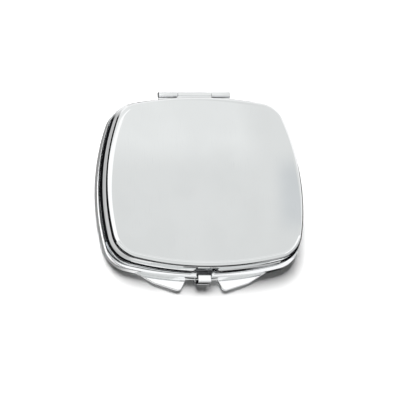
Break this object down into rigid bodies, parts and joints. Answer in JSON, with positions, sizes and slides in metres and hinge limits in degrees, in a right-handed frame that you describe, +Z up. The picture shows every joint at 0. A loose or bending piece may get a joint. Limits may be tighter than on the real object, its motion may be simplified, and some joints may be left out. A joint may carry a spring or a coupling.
{
  "type": "pocket mirror",
  "caption": "Hinged pocket mirror in a bowed plated metal case, with a mirror in each half, a push-button catch and thumb tabs at the front.",
  "frame": {"origin": "middle of the underside of the closed case, taken over the whole part with its thumb tabs and hinge", "axes": "+X along the hinge line to the right as seen from the button, +Y from the button towards the hinge, +Z up out of the cover plate"},
  "size_m": [0.063, 0.0598, 0.012],
  "materials": {
    "plated_case": "polished",
    "plated_frame": "polished",
    "plated_hinge": "polished",
    "mirror_glass": "silvered",
    "foam": "matt",
    "steel": "brushed",
    "spring_wire": "drawn"
  },
  "bodies": {
    "base": {"base_shell": "plated_case", "thumb_plate": "plated_case", "base_frame": "plated_frame", "base_mirror_pad": "foam", "base_mirror": "mirror_glass", "base_hinge_leaf": "plated_hinge", "base_hinge_rivets": "steel", "hinge_pin": "steel", "catch_guide": "steel", "button_spring": "spring_wire"},
    "lid": {"lid_shell": "plated_case", "lid_frame": "plated_frame", "lid_mirror_pad": "foam", "lid_mirror": "mirror_glass", "lid_hinge_leaf": "plated_hinge", "lid_hinge_rivets": "steel", "catch_hook": "steel", "hook_rivets": "steel"},
    "button": {"push_button": "plated_case", "catch_slide": "steel"}
  },
  "joints": [
    {"name": "lid_hinge", "type": "hinge", "parent": "base", "child": "lid", "pos_m": [0, 0.02906, 0.006], "axis": [-1, 0, 0], "range_deg": [0, 180]},
    {"name": "button_press", "type": "slide", "parent": "base", "child": "button", "axis": [0, 1, 0], "range_m": [0, 0.0012], "stiffness_N_per_m": 600, "springref_m": -0.0008, "deforming": ["button_spring"]}
  ]
}
